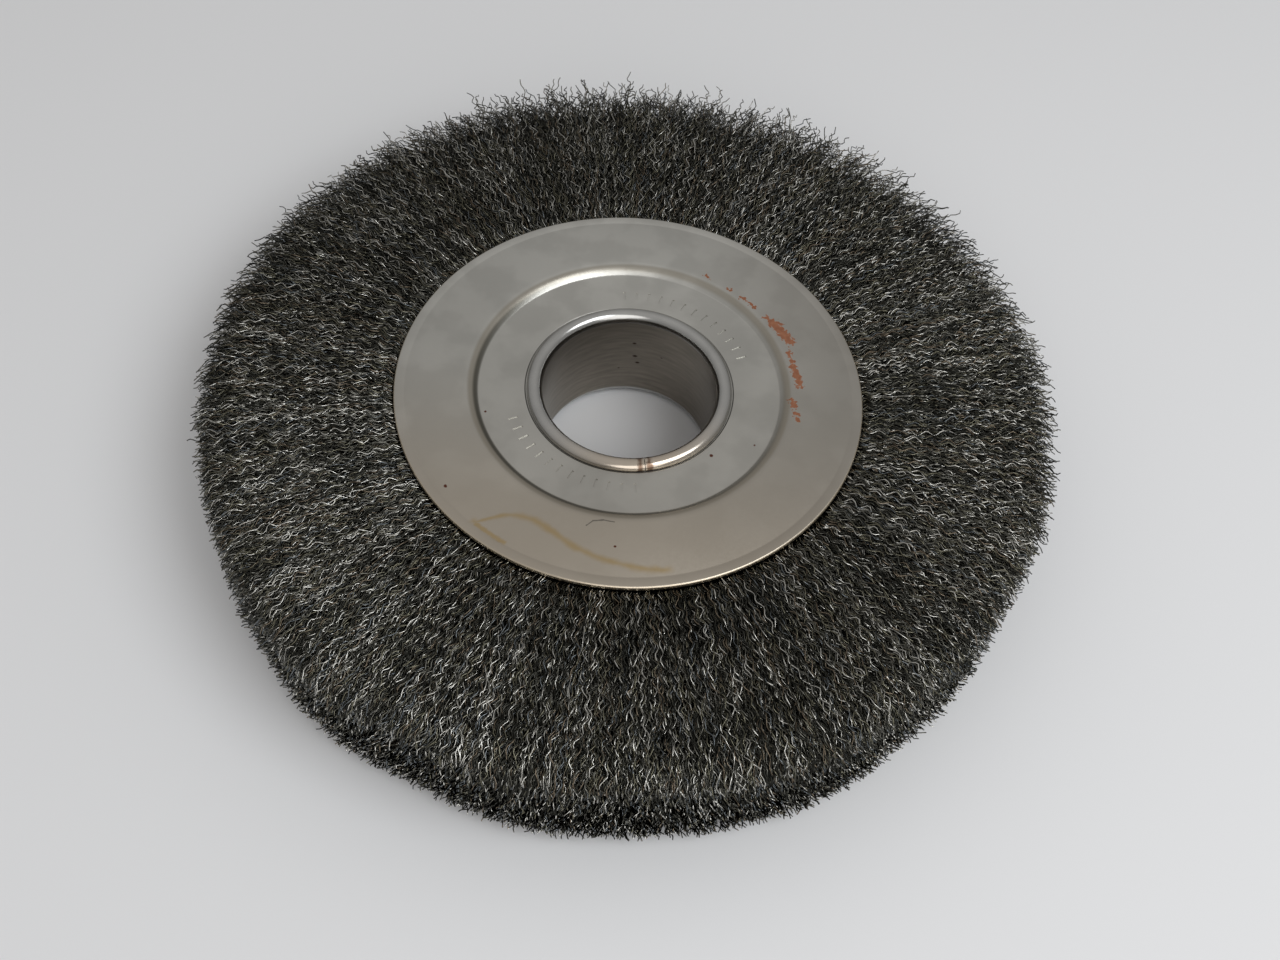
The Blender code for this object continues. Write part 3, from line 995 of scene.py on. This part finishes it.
def make_wires():
    rng = np.random.default_rng(WIRE_SEED)
    clumps = Clumps(rng)
    uneven = np.random.default_rng(RIPPLE_SEED)
    ripples = [(turns, uneven.normal() * RIPPLE_HEIGHT, uneven.uniform(0, TAU))
               for turns in RIPPLE_TURNS]

    def outline(angle):
        total = sum(size * np.cos(turns * angle + lag) for turns, size, lag in ripples)
        for degrees, width, mm in WEAR_BUMPS:
            away = (angle - math.radians(degrees) + math.pi) % TAU - math.pi
            total = total + mm * MM * np.exp(-(away / math.radians(width)) ** 2)
        return total

    materials = tone_materials()
    inner, outer = (EMERGE_RADIUS, 0.0), (OUTER_START, OUTER_START_RANGE)
    upper = [
        face_layer(rng, clumps, outline, UPPER_LONG_WIRES, *inner, 1),
        face_layer(rng, clumps, outline, UPPER_OUTER_WIRES, *outer, 1),
    ]
    lower = [
        face_layer(rng, clumps, outline, LOWER_WIRES, *inner, -1),
        face_layer(rng, clumps, outline, LOWER_WIRES, *outer, -1),
    ]
    rim = [rim_layer(rng, clumps, outline, RIM_WIRES)]
    split_into_pieces("wire_face_top", upper, TOP_PIECES, rng, materials, FACE_SHARES)
    split_into_pieces("wire_face_bottom", lower, BOTTOM_PIECES, rng, materials, FACE_SHARES)
    # The rim's darker, bluer tone shares are painted shade
    split_into_pieces("wire_rim", rim, RIM_PIECES, rng, materials, RIM_SHADE_SHARES)


def make_core():
    """The dense inside of the fill, just under the wires that can be seen."""
    inner = CHANNEL_RADIUS + CORE_CHANNEL_GAP
    stations = np.linspace(EMERGE_RADIUS, CORE_RADIUS, CORE_STATIONS)
    upper = [(inner, STACK_HALF - CORE_STACK_INSET)]
    upper += [(float(r), float(face_half(r)) - CORE_DEPTH) for r in stations]
    lower = [(radius, -height) for radius, height in reversed(upper)]
    piece = turned("wire_core", upper + lower, CORE_SEGMENTS)
    smooth(piece)
    piece.data.materials.append(core_material())
    fills = sorted(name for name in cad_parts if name.startswith("wire_fill"))
    finish_piece(piece, "wire_steel", *fills)


# ---------------------------------------------------------------- stage

def make_floor():
    bpy.ops.mesh.primitive_plane_add(size=FLOOR_SIZE, location=(0.0, 0.0, 0.0))
    floor = bpy.context.object
    floor.name = "floor"
    material = bpy.data.materials.new("pale_floor")
    material.use_nodes = True
    shader = material.node_tree.nodes["Principled BSDF"]
    shader.inputs["Base Color"].default_value = FLOOR_COLOUR
    shader.inputs["Roughness"].default_value = FLOOR_ROUGHNESS
    floor.data.materials.append(material)


def add_area_light(name, azimuth, elevation, distance, size, power, colour):
    data = bpy.data.lights.new(name, "AREA")
    data.shape = "DISK"
    data.size = size
    data.energy = power
    data.color = colour
    lamp = link(bpy.data.objects.new(name, data))
    a, e = math.radians(azimuth), math.radians(elevation)
    direction = Vector((math.cos(a) * math.cos(e), math.sin(a) * math.cos(e), math.sin(e)))
    lamp.location = direction * distance
    lamp.rotation_euler = direction.to_track_quat("Z", "Y").to_euler()


def make_light():
    world = bpy.data.worlds.new("soft_room")
    world.use_nodes = True
    tree = world.node_tree
    background = tree.nodes["Background"]
    background.inputs["Color"].default_value = SKY_COLOUR
    direction = tree.nodes.new("ShaderNodeTexCoord").outputs["Generated"]
    height = node(tree, "ShaderNodeSeparateXYZ", Vector=direction).outputs[2]
    strength = rescale(tree, height, SKY_LOWEST, SKY_HIGHEST)
    tree.links.new(strength, background.inputs["Strength"])
    bpy.context.scene.world = world
    for lamp in LAMPS:
        add_area_light(*lamp)


def make_camera():
    data = bpy.data.cameras.new("camera")
    data.lens = CAMERA_LENS
    data.sensor_width = SENSOR_WIDTH
    camera = link(bpy.data.objects.new("camera", data))
    c, s = math.cos(CAMERA_ROLL), math.sin(CAMERA_ROLL)
    ce, se = math.cos(CAMERA_ELEVATION), math.sin(CAMERA_ELEVATION)
    right = Vector((c, s * se, s * ce))
    up = Vector((-s, c * se, c * ce))
    back = Vector((0.0, -ce, se))
    turn = Matrix((right, up, back)).transposed()
    camera.matrix_world = Matrix.Translation(CAMERA_PLACE) @ turn.to_4x4()
    bpy.context.scene.camera = camera


def dress_hidden_nodes():
    """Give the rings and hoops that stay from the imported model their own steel."""
    channel = hidden_steel("channel_steel_fine", (0.33, 0.33, 0.34))
    hoop = hidden_steel("hoop_steel_fine", (0.27, 0.27, 0.28))
    for name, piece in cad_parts.items():
        if name.startswith("channel_ring"):
            piece.material_slots[0].material = channel
        if name.startswith("retaining_hoop"):
            piece.material_slots[0].material = hoop


def corners(box):
    return [list(box[0]), list(box[1])]


make_camera()
make_floor()
make_light()
make_plate("plate_top", "side_plate_top", plate_material("plate_steel_marked", True), True, False)
make_plate("plate_bottom", "side_plate_bottom", plate_material("plate_steel_plain", False),
           False, True)
make_sleeve()
make_core()
make_wires()
dress_hidden_nodes()
bpy.context.scene.view_settings.view_transform = "Standard"
